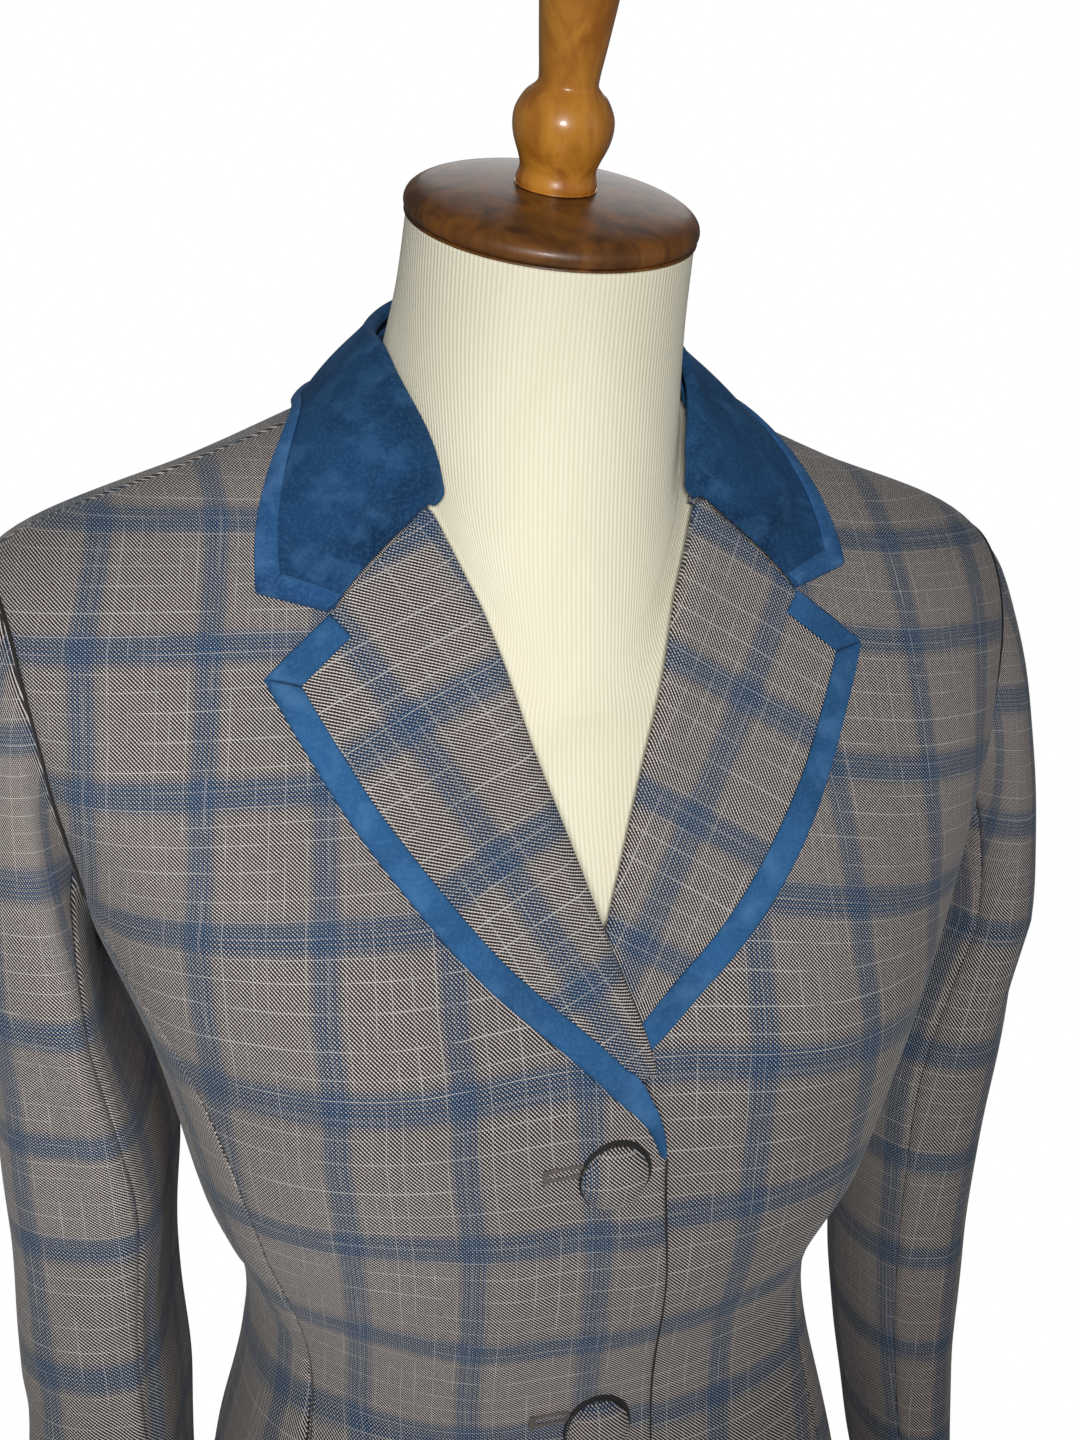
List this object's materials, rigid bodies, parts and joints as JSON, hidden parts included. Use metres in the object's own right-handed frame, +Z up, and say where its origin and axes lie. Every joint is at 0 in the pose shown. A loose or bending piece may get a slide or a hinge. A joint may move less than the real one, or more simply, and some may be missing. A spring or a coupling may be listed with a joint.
{
  "type": "equestrian show coat on dress form",
  "caption": "Fitted plaid riding show coat with velvet collar and velvet-bound lapels, buttoned, worn on a limbless jersey dress form on a turned pole and round base.",
  "frame": {"origin": "middle of the base's underside, on the floor", "axes": "+Z up along the stand, +X to the wearer's left, -Y to the front of the coat"},
  "size_m": [0.4814, 0.33, 1.0276],
  "materials": {
    "wool": "taupe wool twill with blue and ivory plaid",
    "velvet": "deep blue cotton velvet",
    "binding": "lighter blue velvet binding",
    "jersey": "cream knitted jersey cover",
    "walnut": "dark brown stained wood, semi-gloss",
    "maple": "golden brown turned wood, lacquered"
  },
  "bodies": {
    "root": {"front_right": "wool", "front_left": "wool", "side_right": "wool", "side_left": "wool", "back_right": "wool", "back_left": "wool", "sleeve_top_right": "wool", "sleeve_top_left": "wool", "sleeve_under_right": "wool", "sleeve_under_left": "wool", "lapel_right": "wool", "lapel_left": "wool", "button_1": "wool", "button_2": "wool", "button_3": "wool", "collar": "velvet", "collar_stand": "velvet", "collar_band": "binding", "lapel_binding_right": "binding", "lapel_binding_left": "binding", "form_torso": "jersey", "neck_cap": "walnut", "stand_base": "walnut", "finial": "maple", "stand_pole": "maple"}
  },
  "joints": []
}
